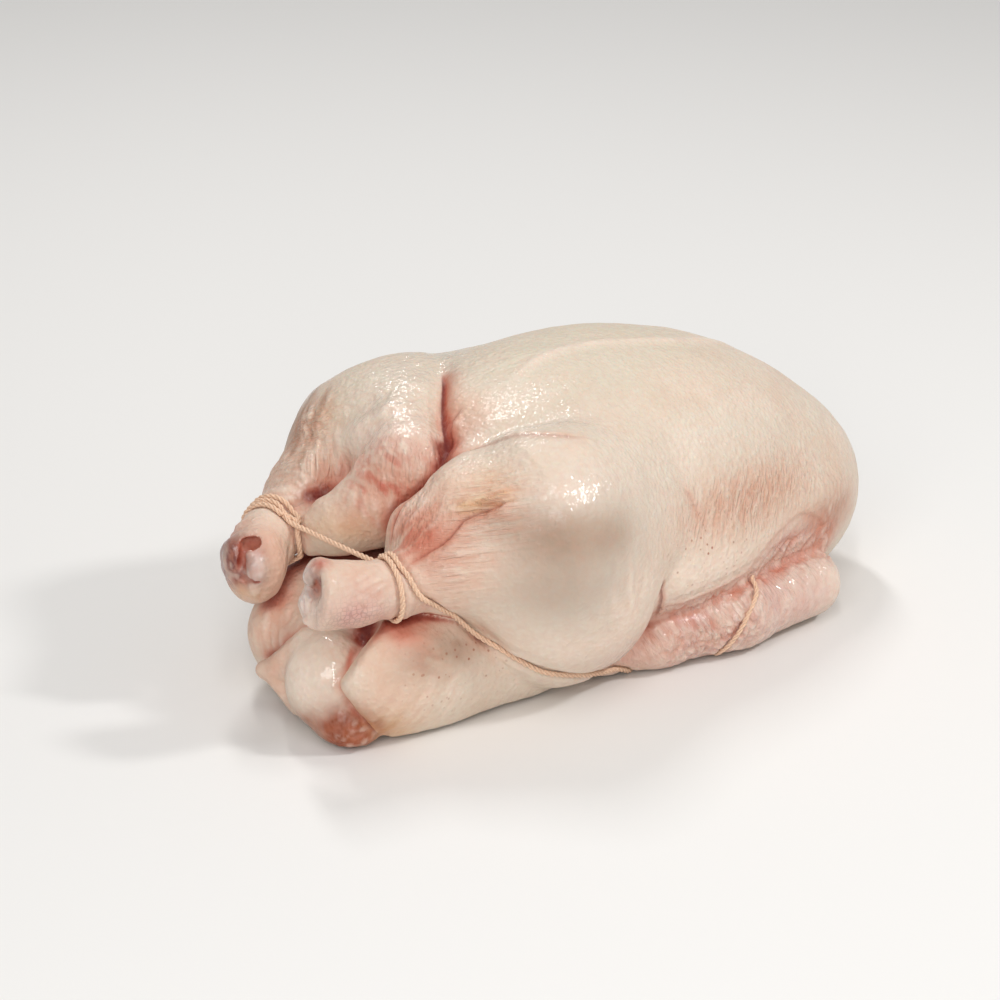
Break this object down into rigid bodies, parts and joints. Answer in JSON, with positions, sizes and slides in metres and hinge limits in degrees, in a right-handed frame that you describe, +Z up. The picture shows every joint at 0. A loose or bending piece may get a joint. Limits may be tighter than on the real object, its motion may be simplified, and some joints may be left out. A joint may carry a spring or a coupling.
{
  "type": "whole raw duck",
  "caption": "Whole raw plucked duck lying on its back, breast up, legs and wings held in by kitchen twine, hocks cut off square.",
  "frame": {"origin": "middle of the bounding box in plan, on the surface that the bird rests on", "axes": "+X from the tail to the neck end, +Y to the bird's right side, which is the far side as it lies, +Z up"},
  "size_m": [0.3082, 0.1818, 0.1269],
  "materials": {
    "skin": "moist raw skin, cream to pink, soft gloss",
    "twine": "twisted cotton, matt"
  },
  "bodies": {
    "root": {"duck": "skin", "leg_twine": "twine", "wing_twine": "twine"}
  },
  "joints": []
}
